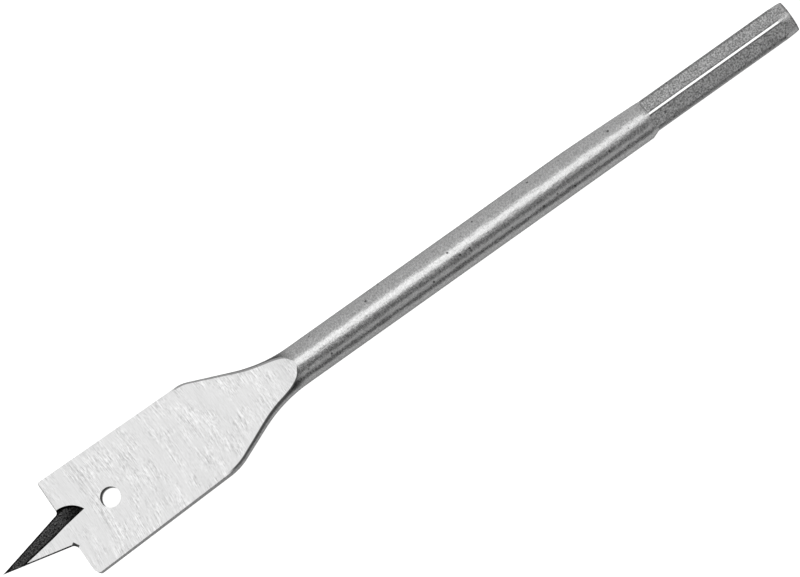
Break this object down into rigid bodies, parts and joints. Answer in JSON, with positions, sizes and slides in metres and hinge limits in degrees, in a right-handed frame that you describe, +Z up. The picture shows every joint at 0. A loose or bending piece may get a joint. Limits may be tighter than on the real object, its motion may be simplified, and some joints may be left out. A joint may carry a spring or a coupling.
{
  "type": "metal drill bit",
  "caption": "Flat wood drill bit: centre point, two cutting lips, flat forged blade with a pull hole, round shank and hex end.",
  "frame": {"origin": "on the surface the bit lies on, below the middle of its length and below its axis", "axes": "+X along the bit from its point to its shank; +Z up from the surface; +Y is the side whose blade edge touches the surface"},
  "size_m": [0.164, 0.019, 0.0071],
  "materials": {
    "ground_steel": "ground and brushed"
  },
  "bodies": {
    "root": {"spade_bit": "ground_steel"}
  },
  "joints": []
}
